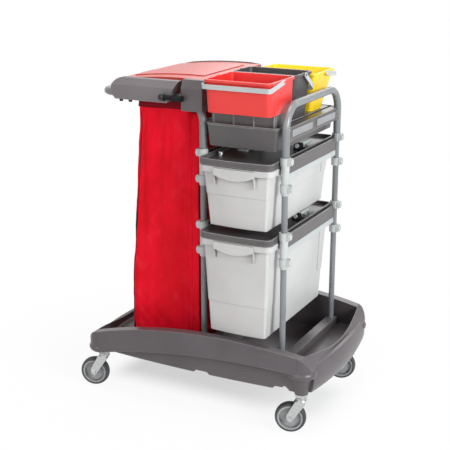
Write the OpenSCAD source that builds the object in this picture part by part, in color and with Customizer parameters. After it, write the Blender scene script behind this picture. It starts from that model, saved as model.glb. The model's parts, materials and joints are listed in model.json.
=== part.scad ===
// Janitor cart. A moulded tray on four swivel casters carries a tube frame with two covered tubs,
// a tray of buckets above them and a lidded waste bag beside them.
// It is drawn about the middle of its base, +X to the right end and +Y to the back, and then moved along X
// so that the origin is on the floor under the middle of the whole cart.

/* [Base] */
// Length of the base, end to end
base_len = 904; // [870:2:940]
// Width of the base over its bowed long sides
base_wid = 584; // [570:2:620]
// Bow of each long side in plan
side_bow = 24; // [14:1:34]
// Bulge of each end in plan
end_bulge = 34; // [24:1:44]
// Corner radius of the base in plan
corner_r = 46; // [42:1:56]
// Width of the rim on the long sides
rim_w = 31; // [30:1:38]
// Wall of the base moulding
shell_t = 4; // [3:0.5:5]
// Setback of the lower skirt behind the band
skirt_inset = 24; // [20:1:25]
// Height of the skirt's lower edge
skirt_z = 150; // [142:1:154]
// Height of the tray floor
floor_z = 162; // [158:1:170]
// Height of the trough floor at the right end
trough_z = 200; // [190:1:214]
// Crown height of the rim
arch_z = 300; // [285:1:306]
// Radius of the rim's arch
arch_r = 1600; // [1500:10:2400]
// Place of the rim's crown along the base
arch_x = 117; // [60:1:160]
// Crown height of the band's lower edge
band_z = 226; // [216:1:234]
// Radius of the band's lower edge
band_r = 2100; // [1900:10:2600]
// Place of the lower edge's crown along the base
band_x = 207; // [160:1:240]
// Radius of the rim's drop at the ends, along the base
drop_r = 48; // [44:1:54]
// Height of that drop's full round
drop_h = 92; // [84:1:100]
// Top of the right end wall
right_end_z = 238; // [230:1:246]
// Top of the left end wall
left_end_z = 176; // [174:1:184]
// Bulge radius of an end wall's section
bulge_r = 90; // [80:1:120]
// Height of the round corner noses
nose_h = 28; // [22:1:32]
// Reach of the noses past the corner
nose_proud = 4; // [2:0.5:6]
// Height of the right noses' middle
right_nose_z = 212; // [206:1:218]
// Height of the left noses' middle
left_nose_z = 154; // [153:1:158]
// Width of the notches in the skirt
notch_w = 58; // [40:1:80]
// Height of the notches in the skirt
notch_h = 13; // [8:1:16]
// Lower diameter of the caster bosses
boss_d = 46; // [44:1:56]
// Width of the foot beams under the posts
beam_w = 34; // [30:1:40]
// Top of the foot beams
beam_z = 231; // [222:1:240]

/* [Casters] */
// Height of a caster, floor to base
caster_h = 139; // [134:1:139]
// Wheel diameter
wheel_d = 104; // [94:1:106]
// Wheel width
tyre_w = 30; // [26:1:34]
// Tyre thickness
tyre_t = 9; // [7:1:12]
// Axle diameter
axle_d = 10; // [8:1:12]
// King pin diameter
king_d = 12; // [10:1:14]
// Trail of the wheel behind the swivel axis
trail = 34; // [28:1:36]
// Heading of the wheels as they stand
heading = 16; // [-30:1:30]
// Fork sheet thickness
fork_t = 3; // [2.5:0.5:4]
// Bearing cup diameter
cup_d = 42; // [38:1:44]

/* [Frame] */
// Place of the middle posts along the base
mid_post_x = 19; // [10:1:26]
// Distance between the post pairs
post_pitch_x = 288; // [280:1:300]
// Distance between front and back posts
post_pitch_y = 428; // [420:1:436]
// Lower post diameter
post_d = 20; // [18:0.5:21]
// Lower post wall
post_wall = 1.5; // [1:0.25:2.5]
// Upper tube diameter
tube_d = 25; // [24:0.5:27]
// Upper tube wall
tube_wall = 2; // [1.5:0.25:2]
// Gap between the upper cover clamps and the upper tubes
foot_gap = 2; // [1:0.5:4]
// Depth of a post in its tube
socket_l = 45; // [30:1:55]
// Axis height of the bow and the bag loop
tube_top = 1067; // [1062:1:1072]
// Bend radius of the tubes
bend_r = 75; // [68:1:80]
// Reach of the push handle from the middle posts
loop_reach = 377; // [372:1:384]
// Bend radius beside the push handle
handle_r = 42; // [40:1:56]
// Height of a post clamp
clamp_h = 26; // [22:1:26]
// Wall of a post clamp
clamp_t = 6; // [4:0.5:6]
// Reach of the clamps' outer knobs from the post axis
knob_out = 24; // [22:1:28]
// Reach of the clamps' lugs from the post axis
lug_out = 18; // [17.5:0.5:22]
// Drop from a cover clamp to its guide clamp
pair_drop = 86; // [78:1:92]

/* [Tubs and covers] */
// Clamp level of the upper cover
upper_z = 897; // [890:1:897]
// Clamp level of the lower cover
lower_z = 656; // [650:1:660]
// Height of a cover's rim above its panel
cover_lip = 12; // [8:0.5:14]
// Depth of a cover's front apron
apron_h = 20; // [16:1:21]
// Cover wall
cover_t = 4; // [3:0.5:5]
// Width over a tub's rim
tub_w = 252; // [240:1:252]
// Reach of the tubs to the front
tub_front = 285; // [270:1:286]
// Reach of the tubs to the back
tub_back = 232; // [225:1:236]
// Bow of the tubs' front
tub_bow = 5; // [4:1:12]
// Corner radius of the tubs' rims
tub_r = 20; // [16:1:26]
// Corner radius of the tubs' walls
body_r = 10; // [8:1:14]
// Height of the upper tub
upper_tub_h = 199; // [180:1:205]
// Height of the lower tub
lower_tub_h = 320; // [280:1:322]
// Drop of a tub's rim below the clamp level
tub_drop = 23; // [22:1:26]
// Height of a tub's rim band
rim_h = 20; // [16:1:24]
// Overhang of the rim band past the wall
rim_out = 10; // [8:0.5:12]
// Tub wall
tub_t = 3; // [2.5:0.5:4]
// Inward taper of a tub's sides
side_taper = 14; // [10:1:20]
// Inward taper of a tub's front
front_taper = 14; // [10:1:30]
// Inward taper of a tub's back
back_taper = 20; // [10:1:26]
// Height of the step in a tub's wall
step_h = 105; // [80:1:120]
// Depth of that step
step_in = 2; // [1:0.5:3]
// Width of the hand grip
grip_w = 140; // [110:1:160]
// Drop of the hand grip below the rim band
grip_drop = 20; // [14:1:26]
// Reach of the hand grip in front of the rim band
grip_out = 5; // [3:0.5:7]
// Drop of the grip's cheeks below the rim band
cheek_drop = 40; // [30:1:50]
// Depth of the runners' flanges
runner_h = 18; // [12:1:24]
// Running gap of the tubs on their runners
run_gap = 0.3; // [0.2:0.1:0.6]
// Length of the pull bars on the covers
pull_l = 100; // [80:1:120]
// Diameter of the pull bars
pull_d = 14; // [10:1:16]

/* [Top tray] */
// Rim height of the top tray
tray_z = 1000; // [996:1:1002]
// Depth of the top tray
tray_h = 74; // [66:1:78]
// Reach of the top tray to front and back
tray_y = 236; // [226:1:240]
// Corner radius of the top tray
tray_r = 14; // [12:1:20]
// Inward taper of the top tray
tray_taper = 6; // [4:1:9]
// Height of the tray's side rails
rail_h = 42; // [36:1:46]
// Length of a label plate
label_l = 160; // [120:1:165]
// Height of a label plate
label_h = 22; // [16:1:26]
// Label plate thickness
label_t = 2.5; // [1.5:0.5:4]
// Gap between the label plates
label_gap = 37; // [20:1:50]
// Width of the bucket stand
stand_w = 222; // [200:1:222]
// Length of the bucket stand
stand_l = 430; // [410:1:430]
// Length of the stand's high front step
step_l = 110; // [100:1:112]
// Top of the stand's front step
stand_hi = 1039; // [1034:1:1046]
// Top of the stand's back shelf
stand_lo = 1001; // [996:1:1008]
// Wall of the tray and the stand
tray_t = 3; // [2.5:0.5:4]

/* [Buckets] */
// Rim height of the buckets
bucket_z = 1143; // [1138:1:1150]
// Width over a bucket's rim
bucket_w = 230; // [216:1:231]
// Place of the buckets across the frame
bucket_x = 170; // [168:0.5:171]
// Front edge of the red bucket
red_y = -284; // [-285:1:-278]
// Length of the red bucket
red_l = 192; // [180:1:193]
// Front edge of the grey bucket
grey_y = -88; // [-90:1:-84]
// Length of the grey bucket
grey_l = 132; // [124:1:132]
// Front edge of the yellow bucket
yellow_y = 66; // [66:1:70]
// Length of the yellow bucket
yellow_l = 176; // [166:1:184]
// Drop of the yellow bucket's rim below the others
yellow_drop = 15; // [8:1:20]
// Bucket wall
bucket_t = 2.5; // [2:0.5:3.5]
// Width of a bucket's rim lip
lip_w = 5; // [4:0.5:6]
// Height of a bucket's rim lip
lip_h = 8; // [5:1:10]
// Bail strip thickness
bail_t = 3; // [2:0.5:3.5]
// Bail strip height
bail_h = 15; // [12:1:16]
// Bail pivot diameter
pivot_d = 8; // [6:0.5:9]
// Drop of the bail pivots below the rim
pivot_drop = 6; // [5:0.5:8]
// Droop of the folded outer bails
bail_droop = 9; // [4:1:12]
// Droop of the grey bucket's hanging bail
grey_droop = 36; // [32:1:40]
// Reach of the grey bucket's bail
grey_reach = 84; // [82:0.5:84.5]

/* [Bag unit] */
// Left end of the bag clamps
clamp_x0 = -303; // [-305:1:-296]
// Right end of the bag clamps
clamp_x1 = -56; // [-62:1:-52]
// Reach of the clamp housings outside the tube axis
house_out = 38; // [34:1:40]
// Reach of the clamp housings inside the tube axis
house_in = 26; // [22:1:28]
// Top of the front housing above the tube axis
house_up = 55; // [50:1:60]
// Top of the rear housing above the tube axis
rear_up = 31; // [28:1:34]
// Bottom of the housings below the tube axis
house_down = 15; // [14:1:18]
// Left end of the corner caps
cap_x0 = -40; // [-44:1:-36]
// Right end of the corner caps
cap_x1 = 35; // [32:1:40]
// Bottom of the corner caps below the tube axis
cap_down = 35; // [28:1:40]
// Top of the front corner cap above the tube axis
cap_up = 63; // [58:1:66]
// Left edge of the bag lid
lid_x0 = -325; // [-326:1:-315]
// Right edge of the bag lid
lid_x1 = 7; // [0:1:10]
// Place of the crown of the lid's vault
lid_crown = -70; // [-90:1:-50]
// Rise of the lid's vault
lid_rise = 20; // [14:1:26]
// Lid wall
lid_t = 3.5; // [3:0.5:5]
// Height of the lid's raised panel
panel_h = 3; // [2:0.5:4]
// Hinge pin diameter
pin_d = 6; // [5:0.5:7]
// Latch rod diameter
latch_d = 12; // [10:0.5:13]
// Latch knob diameter
knob_d = 26; // [22:1:27]
// Left side of the bag's mouth
bag_x0 = -238; // [-250:1:-230]
// Right side of the bag
bag_x1 = -40; // [-46:1:-34]
// Spread of the bag to the left at its foot
bag_spread = 55; // [30:1:60]
// Bag wall
bag_t = 3; // [2:0.5:4]

/* [Hidden] */
dark_grey = [0.40, 0.375, 0.38];
mid_grey = [0.34, 0.33, 0.34];
pale_grey = [0.84, 0.83, 0.82];
clamp_grey = [0.78, 0.79, 0.78];
tube_grey = [0.65, 0.66, 0.66];
zinc = [0.90, 0.90, 0.88];
hub_grey = [0.62, 0.62, 0.62];
tyre_grey = [0.24, 0.24, 0.25];
bag_red = [0.82, 0.10, 0.14];
lid_red = [0.90, 0.36, 0.30];
bucket_red = [0.90, 0.28, 0.26];
bucket_yellow = [0.97, 0.84, 0.10];
bucket_grey = [0.36, 0.35, 0.36];
black = [0.08, 0.08, 0.09];

// Clearances: seated faces, fixed sleeves, turning pins
seat = 0.3;
sleeve_fit = 0.1;
pin_fit = 0.05;
// Overlap of fused shapes
eps = 0.5;

tube_foot = upper_z + clamp_h / 2 + foot_gap;
right_post_x = mid_post_x + post_pitch_x;
frame_x = mid_post_x + post_pitch_x / 2;
post_y = post_pitch_y / 2;
posts_x = [mid_post_x, right_post_x];
sides = [-1, 1];

// Plan of the base: bowed sides and bulged ends joined by round corners
bow_r = (pow(base_len / 2, 2) + pow(side_bow, 2)) / (2 * side_bow);
end_r = (pow(base_wid / 2, 2) + pow(end_bulge, 2)) / (2 * end_bulge);
bow_c = [0, base_wid / 2 - bow_r];
end_c = [base_len / 2 - end_r, 0];

// Upper meeting point of two circles about p and q
function meet(p, rp, q, rq) =
    let (d = norm(q - p), a = (rp * rp - rq * rq + d * d) / (2 * d))
    p + a * (q - p) / d + sqrt(rp * rp - a * a) * [q[1] - p[1], p[0] - q[0]] / d;

corner_c = meet(bow_c, bow_r - corner_r, end_c, end_r - corner_r);
bow_a = atan2(corner_c[1] - bow_c[1], corner_c[0] - bow_c[0]);
end_a = atan2(corner_c[1] - end_c[1], corner_c[0] - end_c[0]);

// Points i0 to i1 of n steps along an arc
function arc(c, r, a0, a1, n, i0 = 0, i1 = -1) =
    [for (i = [i0:(i1 < 0 ? n : i1)]) c + r * [cos(a0 + (a1 - a0) * i / n), sin(a0 + (a1 - a0) * i / n)]];

// One quarter of the base outline, set in by d
function quarter(d) = concat(
    arc(bow_c, bow_r - d, 90, bow_a, 8),
    arc(corner_c, corner_r - d, bow_a, end_a, 8, 1, 7),
    arc(end_c, end_r - d, end_a, 0, 5));

function outline(d) = let (q = quarter(d), n = len(q)) concat(
    q,
    [for (i = [n - 2:-1:0]) [q[i][0], -q[i][1]]],
    [for (i = [1:n - 1]) [-q[i][0], -q[i][1]]],
    [for (i = [n - 2:-1:1]) [-q[i][0], q[i][1]]]);

// Height of the rim's crown line at x
function rim_at(x) = arch_z - arch_r + sqrt(arch_r * arch_r - pow(x - arch_x, 2));

// Rectangle with round corners and a front side bowed out to y0, set in by d
function tub_plan(hw, y0, y1, bow, r, d = 0) = let (w = hw - r, e = r - d) concat(
    arc([-w, y1 - r], e, 180, 90, 5),
    arc([w, y1 - r], e, 90, 0, 5),
    arc([w, y0 + bow + r], e, 0, -90, 5),
    bow > 0 ? [for (i = [4:-1:-4]) [w * i / 5, y0 + d + bow * pow(i / 5, 2)]] : [],
    arc([-w, y0 + bow + r], e, -90, -180, 5));

// Solid between two plans with the same number of points, which run clockwise seen from above
module loft(low, z0, high, z1) let (n = len(low)) polyhedron(
    points = concat([for (p = low) [p[0], p[1], z0]], [for (p = high) [p[0], p[1], z1]]),
    faces = concat(
        [[for (i = [n - 1:-1:0]) i], [for (i = [0:n - 1]) n + i]],
        [for (i = [0:n - 1]) let (j = (i + 1) % n) each [[i, j, n + j], [i, n + j, n + i]]]));

// Extrudes an X-Z profile along Y, centred
module along_y(w) rotate([90, 0, 0]) linear_extrude(height = w, center = true) children();

// Extrudes a Y-Z profile along X from x0 to x1
module along_x(x0, x1) translate([x0, 0, 0]) rotate([90, 0, 90]) linear_extrude(height = x1 - x0) children();

// Repeats a shape at both posts of a row, mirrored about the frame's middle
module both_rows() for (s = sides) translate([frame_x, 0, 0]) scale_x(s) children();

// Mirrors across X when s is negative
module scale_x(s) mirror([s < 0 ? 1 : 0, 0, 0]) children();

// Mirrors across Y when s is negative
module scale_y(s) mirror([0, s < 0 ? 1 : 0, 0]) children();

// Ring between two insets of the base outline
module plan_ring(a, b) difference() {
    polygon(outline(a));
    polygon(outline(b));
}

plan_h = arch_z + 10;
end_x = corner_c[0] + corner_r - 5;

// Points of a shallow arch from x0 to x1, crowned at cx, cz
function arch_line(cx, cz, r, x0, x1, n) =
    [for (i = [0:n]) let (x = x0 + (x1 - x0) * i / n) [x, cz - r + sqrt(r * r - pow(x - cx, 2))]];

// Rim line over one corner: a quarter round that falls from the arch to end_x
function drop_line(s, a0, a1) = [for (i = [0:8]) let (a = a0 + (a1 - a0) * i / 8)
    [s * corner_c[0] + drop_r * cos(a), rim_at(s * corner_c[0]) - drop_h * (1 - sin(a))]];

// Points of the notch in the skirt beside a post
function notch(x) = [[x + notch_w / 2, skirt_z], [x + notch_w / 2 - notch_h, skirt_z + notch_h],
    [x - notch_w / 2 + notch_h, skirt_z + notch_h], [x - notch_w / 2, skirt_z]];

drop_a = acos((end_x - corner_c[0]) / drop_r);

// Side view of the long walls: under the rim line, above the notched lower edge
module wall_side() polygon(concat(
    drop_line(-1, 180 - drop_a, 90),
    arch_line(arch_x, arch_z, arch_r, 3 - corner_c[0], corner_c[0] - 3, 36),
    drop_line(1, 90, drop_a),
    [[end_x, skirt_z]],
    notch(right_post_x + beam_w / 2),
    notch(mid_post_x + beam_w / 2),
    [[-end_x, skirt_z]]));

// Side view of all that lies under an arch
module under_arch(cx, cz, r, half) polygon(concat(
    arch_line(cx, cz, r, -half, half, 36),
    [[half, 0], [-half, 0]]));

// Long walls: an outer band joined by the rim to a skirt that is set back, solid at the corners
module long_walls() difference() {
    intersection() {
        linear_extrude(plan_h) plan_ring(0, rim_w);
        along_y(base_wid + 2) wall_side();
    }
    intersection() {
        linear_extrude(plan_h) plan_ring(shell_t, skirt_inset - eps);
        along_y(base_wid + 2) under_arch(arch_x, arch_z - shell_t, arch_r - shell_t, corner_c[0]);
    }
    intersection() {
        linear_extrude(plan_h) plan_ring(-1, skirt_inset);
        along_y(base_wid + 4) under_arch(band_x, band_z, band_r, base_len / 2 + shell_t);
    }
    // Grooves where the band meets the right corners
    for (t = sides) translate([corner_c[0] - 1, t * (corner_c[1] + corner_r) - 1.2, skirt_z])
        cube([2, 2.4, plan_h]);
}

// Section of an end wall: bulged outside, sloped inside from its top to the floor behind it
module end_section(z0, z1, zf) intersection() {
    translate([end_r - bulge_r, (z0 + z1) / 2]) circle(bulge_r, $fn = 96);
    polygon([[end_r - skirt_inset, z1], [end_r, z1], [end_r, z0], [end_r - skirt_inset, z0],
        [end_r - skirt_inset, zf - shell_t / 2], [end_r - skirt_inset - (z1 - zf), zf - shell_t / 2]]);
}

module end_wall(z0, z1, zf) let (half = asin((corner_c[1] + shell_t) / end_r))
    translate([end_c[0], 0, 0]) rotate([0, 0, -half])
        rotate_extrude(angle = 2 * half, $fn = 180) end_section(z0, z1, zf);

// Round nose at a corner, outside the tray's inner wall
module nose(s, z) for (t = sides) difference() {
    translate([s * corner_c[0], t * corner_c[1], z]) rotate_extrude($fn = 64) {
        translate([0, -nose_h / 2]) square([corner_r + nose_proud - nose_h / 2, nose_h]);
        translate([corner_r + nose_proud - nose_h / 2, 0]) intersection() {
            circle(nose_h / 2, $fn = 32);
            translate([0, -nose_h]) square([nose_h, 2 * nose_h]);
        }
    }
    linear_extrude(plan_h) polygon(outline(rim_w - eps));
}

// Boss that a caster is bolted under
module boss(s, z, grow = 0) for (t = sides) translate([s * corner_c[0], t * corner_c[1], caster_h])
    cylinder(d1 = boss_d + grow, d2 = boss_d + skirt_inset + grow, h = z - shell_t / 2 - caster_h, $fn = 64);

riser_x = right_post_x + beam_w / 2;

// Tray floor to the left of the riser, trough floor to its right
module floors() {
    riser_hw = bow_c[1] + sqrt(pow(bow_r - skirt_inset - eps, 2) - pow(riser_x, 2)) - eps;
    translate([0, 0, floor_z - shell_t]) linear_extrude(shell_t) intersection() {
        polygon(outline(skirt_inset + eps));
        translate([-base_len, -base_wid]) square([base_len + riser_x + shell_t, 2 * base_wid]);
    }
    translate([0, 0, trough_z - shell_t]) linear_extrude(shell_t) intersection() {
        polygon(outline(skirt_inset + eps));
        translate([riser_x, -base_wid]) square([base_len, 2 * base_wid]);
    }
    translate([riser_x, -riser_hw, floor_z - shell_t]) cube([shell_t, 2 * riser_hw, trough_z - floor_z + shell_t]);
}

module base_tray() color(dark_grey) {
    long_walls();
    floors();
    end_wall(skirt_z - 1, right_end_z, trough_z);
    scale_x(-1) end_wall(caster_h + 2 * shell_t, left_end_z, floor_z);
    nose(1, right_nose_z);
    nose(-1, left_nose_z);
    boss(1, trough_z);
    boss(-1, floor_z);
}

// Hollow beam across the tray floor, kept inside the long walls and clear of the right bosses
module foot_beam(x) color(dark_grey) difference() {
    intersection() {
        translate([x - beam_w / 2, -post_y - beam_w / 2, floor_z])
            cube([beam_w, post_pitch_y + beam_w, beam_z - floor_z]);
        linear_extrude(plan_h) polygon(outline(rim_w + seat));
    }
    boss(1, trough_z, 2 * seat);
    translate([x - beam_w / 2 + shell_t, -post_y - beam_w / 2 + shell_t, floor_z - 1])
        cube([beam_w - 2 * shell_t, post_pitch_y + beam_w - 2 * shell_t, beam_z - floor_z - shell_t + 1]);
}

module mid_foot_beam() foot_beam(mid_post_x);

module right_foot_beam() foot_beam(right_post_x);

// Casters. Each is drawn with its swivel axis at the origin and turned to its heading
corners = [["fl", -1, -1], ["fr", 1, -1], ["bl", -1, 1], ["br", 1, 1]];
axle_z = wheel_d / 2;
leg_y = tyre_w / 2 + 3;
crown_z = caster_h - 26;
king_nut_h = 5;

module at_caster(c) translate([c[1] * corner_c[0], c[2] * corner_c[1], 0]) rotate([0, 0, heading]) children();

// Fixed cup, race and king pin
module caster_head(c) color(zinc) at_caster(c) {
    translate([0, 0, crown_z + 2 * fork_t + seat]) {
        cylinder(d = cup_d - 8, h = 5, $fn = 64);
        translate([0, 0, 5]) cylinder(d1 = cup_d - 8, d2 = cup_d, h = 5, $fn = 64);
        translate([0, 0, 10]) cylinder(d = cup_d, h = caster_h - crown_z - 2 * fork_t - seat - 10, $fn = 64);
    }
    translate([0, 0, crown_z - king_nut_h - seat]) {
        cylinder(d = king_d + 8, h = king_nut_h, $fn = 48);
        cylinder(d = king_d, h = caster_h - crown_z + king_nut_h, $fn = 48);
    }
}

// Outline of a fork leg, from the crown down to the axle
module leg_side() difference() {
    union() {
        polygon([[-cup_d / 2 + 4, crown_z + fork_t], [cup_d / 2 - 6, crown_z + fork_t], [cup_d / 2 - 6, crown_z - 6],
            [axle_d - trail, axle_z - 4], [-axle_d - trail, axle_z], [-axle_d - trail - 1, axle_z + 12]]);
        translate([-trail, axle_z]) circle(axle_d, $fn = 48);
    }
    translate([-trail, axle_z]) circle(d = axle_d + 2 * sleeve_fit, $fn = 48);
}

module caster_fork(c) color(zinc) at_caster(c) difference() {
    union() {
        for (s = sides) translate([0, s * (leg_y + fork_t / 2), 0]) along_y(fork_t) leg_side();
        intersection() {
            translate([-cup_d / 2 + 4, -leg_y - fork_t, crown_z]) cube([cup_d - 10, 2 * (leg_y + fork_t), fork_t]);
            translate([0, 0, crown_z]) cylinder(d = cup_d + 6, h = fork_t, $fn = 64);
        }
        translate([0, 0, crown_z]) cylinder(d = cup_d - 6, h = 2 * fork_t, $fn = 64);
    }
    translate([0, 0, crown_z - 1]) cylinder(d = king_d + 2 * pin_fit, h = 2 * fork_t + 2, $fn = 48);
}

module caster_axle(c) color(zinc) at_caster(c) translate([-trail, 0, axle_z]) rotate([90, 0, 0]) {
    cylinder(d = axle_d, h = 2 * (leg_y + fork_t) + 2, center = true, $fn = 48);
    for (s = sides) translate([0, 0, s * (leg_y + fork_t + 2.5)])
        cylinder(d = axle_d + 6, h = 4.5, center = true, $fn = 6);
}

hub_r = wheel_d / 2 - tyre_t;
boss_w = 2 * (leg_y - 0.5);

module caster_hub(c) color(hub_grey) at_caster(c) translate([-trail, 0, axle_z]) rotate([90, 0, 0])
    rotate_extrude($fn = 96) difference() {
        union() {
            translate([0, -boss_w / 2]) square([axle_d + 2, boss_w]);
            translate([0, -3]) square([hub_r, 6]);
            translate([hub_r - 6, -tyre_w / 2 + 2]) square([6, tyre_w - 4]);
        }
        translate([-1, -boss_w]) square([axle_d / 2 + pin_fit + 1, 2 * boss_w]);
    }

module caster_tyre(c) color(tyre_grey) at_caster(c) translate([-trail, 0, axle_z]) rotate([90, 0, 0])
    rotate_extrude($fn = 96) intersection() {
        translate([hub_r, -tyre_w / 2]) square([tyre_t, tyre_w]);
        translate([wheel_d / 2 - tyre_w, 0]) circle(tyre_w, $fn = 96);
    }

// Straight tube from z0 to z1 at a post
module pipe(d, wall, z0, z1) translate([0, 0, z0]) difference() {
    cylinder(d = d, h = z1 - z0, $fn = 64);
    translate([0, 0, -1]) cylinder(d = d - 2 * wall, h = z1 - z0 + 2, $fn = 64);
}

module lower_post(x, s) color(tube_grey) translate([x, s * post_y, 0])
    pipe(post_d, post_wall, beam_z, tube_foot + socket_l);

module front_mid_post() lower_post(mid_post_x, -1);

module front_right_post() lower_post(right_post_x, -1);

module back_mid_post() lower_post(mid_post_x, 1);

module back_right_post() lower_post(right_post_x, 1);

// Outer or inner shape of a quarter bend that starts upwards at the origin and ends along +X
module bend(r, d) translate([r, 0, 0]) rotate([90, 0, 0]) rotate([0, 0, 90])
    rotate_extrude(angle = 90, $fn = 96) translate([r, 0]) circle(d = d, $fn = 48);

// Straight rod of length l along +X
module rod(d, l) rotate([0, 90, 0]) cylinder(d = d, h = l, $fn = 64);

// The bow's solid of one diameter; both legs, two bends and the top
module bow_path(d, foot) for (s = sides) translate([right_post_x, s * post_y, 0]) rotate([0, 0, -90 * s]) {
    translate([0, 0, foot]) cylinder(d = d, h = tube_top - bend_r - foot, $fn = 64);
    translate([0, 0, tube_top - bend_r]) bend(bend_r, d);
    translate([bend_r, 0, tube_top]) rod(d, post_y - bend_r);
}

bore_d = tube_d - 2 * tube_wall;

// Sockets that take the tops of the lower posts
module post_sockets(x) for (s = sides) translate([x, s * post_y, tube_foot - 1])
    cylinder(d = max(bore_d, post_d + 2 * sleeve_fit), h = socket_l + 1 + sleeve_fit, $fn = 64);

module right_bow() color(tube_grey) difference() {
    bow_path(tube_d, tube_foot);
    bow_path(bore_d, tube_foot - 1);
    post_sockets(right_post_x);
}

handle_x = mid_post_x - loop_reach;

// The loop's solid of one diameter: legs, bends to the left, arms and the push handle
module loop_path(d, foot) {
    for (s = sides) {
        translate([mid_post_x, s * post_y, foot]) cylinder(d = d, h = tube_top - bend_r - foot, $fn = 64);
        translate([mid_post_x, s * post_y, tube_top - bend_r]) rotate([0, 0, 180]) bend(bend_r, d);
        translate([handle_x + handle_r, s * post_y, tube_top]) rod(d, loop_reach - bend_r - handle_r);
        translate([handle_x + handle_r, s * (post_y - handle_r), tube_top]) rotate([0, 0, s > 0 ? 90 : 180])
            rotate_extrude(angle = 90, $fn = 96) translate([handle_r, 0]) circle(d = d, $fn = 48);
    }
    translate([handle_x, handle_r - post_y, tube_top]) rotate([0, 0, 90]) rod(d, 2 * (post_y - handle_r));
}

module bag_loop() color(tube_grey) difference() {
    loop_path(tube_d, tube_foot);
    loop_path(bore_d, tube_foot - 1);
    post_sockets(mid_post_x);
}

collar_r = post_d / 2 + clamp_t;

// Ring and knob of a clamp at a post; the knob points away from the frame's middle
module collar(z) difference() {
    translate([0, 0, z - clamp_h / 2]) {
        cylinder(r = collar_r, h = clamp_h, $fn = 64);
        translate([0, -collar_r + 4, 2]) cube([knob_out - 4, 2 * (collar_r - 4), clamp_h - 4]);
        translate([knob_out - 4, 0, clamp_h / 2]) rotate([0, 90, 0]) cylinder(r = clamp_h / 2 - 3, h = 4, $fn = 48);
    }
    translate([0, 0, z - clamp_h]) cylinder(d = post_d + 2 * sleeve_fit, h = 2 * clamp_h, $fn = 64);
}

// Places a shape at all four posts, with +X to the outside and +Y to the frame's middle
module at_posts() both_rows() for (s = sides) translate([post_pitch_x / 2, s * post_y, 0])
    scale_y(-s) children();

cover_hw = post_pitch_x / 2 + cover_t;
cover_y = post_y - lug_out;

module cover_clamps(z) color(clamp_grey) at_posts() {
    collar(z);
    difference() {
        translate([0, 0, z - clamp_h / 2 + 2]) cube([cover_t + 6, lug_out, clamp_h - 4]);
        translate([0, 0, z - clamp_h]) cylinder(d = post_d + clamp_t, h = 2 * clamp_h, $fn = 64);
    }
}

// The front posts' guide clamps have a sleeve that reaches up to the cover clamps
module guide_clamps(z) color(clamp_grey) {
    at_posts() collar(z - pair_drop);
    both_rows() translate([post_pitch_x / 2, -post_y, 0])
        pipe(post_d + clamp_t, clamp_t / 2 - sleeve_fit, z - pair_drop - clamp_h / 2 - 8, z - clamp_h / 2);
}

module upper_cover_clamps() cover_clamps(upper_z);

module upper_guide_clamps() guide_clamps(upper_z);

module lower_cover_clamps() cover_clamps(lower_z);

module lower_guide_clamps() guide_clamps(lower_z);

tub_hw = tub_w / 2;
apron_hw = tub_hw + 0.5;
apron_front = tub_front + cover_t;
apron_back = tub_back + cover_t + seat;
wall_in = tub_hw - rim_out;

ledge_z = -tub_drop - rim_h - run_gap;

// Cover with a raised rim, a bowed apron and side walls that stand on the runners
module cover(z) color(dark_grey) translate([frame_x, 0, z]) {
    panel_z = -cover_lip - cover_t;
    translate([0, 0, -apron_h]) linear_extrude(apron_h) difference() {
        polygon(tub_plan(apron_hw, -apron_front, apron_back, tub_bow, tub_r));
        polygon(tub_plan(apron_hw, -apron_front, apron_back, tub_bow, tub_r, cover_t));
    }
    translate([0, 0, panel_z]) linear_extrude(cover_t)
        polygon(tub_plan(apron_hw, -apron_front, apron_back, tub_bow, tub_r, cover_t - eps));
    for (s = sides) scale_x(s) {
        translate([apron_hw - cover_t, -cover_y, panel_z]) cube([cover_hw - apron_hw + cover_t, 2 * cover_y, cover_t]);
        translate([cover_hw - cover_t, -cover_y, ledge_z + sleeve_fit])
            cube([cover_t, 2 * cover_y, -ledge_z - sleeve_fit]);
    }
    // Stop behind the tub
    translate([-wall_in, tub_back + seat, ledge_z]) cube([2 * wall_in, cover_t, -ledge_z - cover_lip]);
}

module upper_cover() cover(upper_z);

module lower_cover() cover(lower_z);

// Ledges that carry a tub's rim, each with a flange down the outside
module runners(z) color(clamp_grey) translate([frame_x, 0, z + ledge_z]) for (s = sides) scale_x(s) {
    translate([wall_in + 2, -cover_y, -cover_t]) cube([cover_hw - wall_in - 2, 2 * cover_y, cover_t]);
    translate([cover_hw - cover_t, -cover_y, -runner_h]) cube([cover_t, 2 * cover_y, runner_h]);
}

module upper_runners() runners(upper_z);

module lower_runners() runners(lower_z);

// Grip bars on the covers' panels, behind the middle
module cover_pulls() color(clamp_grey) for (z = [upper_z, lower_z], s = sides)
    translate([frame_x + s * (wall_in - 2 * pull_d), 0, z - cover_lip]) {
        translate([0, 0, cover_lip + 2]) rotate([-90, 0, 0]) cylinder(d = pull_d, h = pull_l, $fn = 48);
        for (y = [pull_d, pull_l - pull_d]) translate([0, y, 0]) cylinder(d = pull_d - 4, h = cover_lip + 2, $fn = 32);
    }

// A tub's plan at height h above its bottom, set in by d
function tub_ring(height, h, d) = let (k = 1 - h / height)
    tub_plan(wall_in - side_taper * k, -tub_front + rim_out + front_taper * k, tub_back - rim_out - back_taper * k,
        tub_bow, body_r, d);

// Shallow field sunk into a tub's side wall
module side_field(height) let (lean = atan2(side_taper, height), top = height - rim_h - 26)
    for (s = sides) scale_x(s) translate([wall_in - side_taper - step_in, 0, 0]) rotate([0, lean, 0])
        translate([step_in - 1.5, -tub_front + front_taper + 3 * tub_r, step_h * 0.2])
            cube([step_in + 6, tub_front + tub_back - front_taper - back_taper - 5.5 * tub_r, top - step_h * 0.2]);

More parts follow.
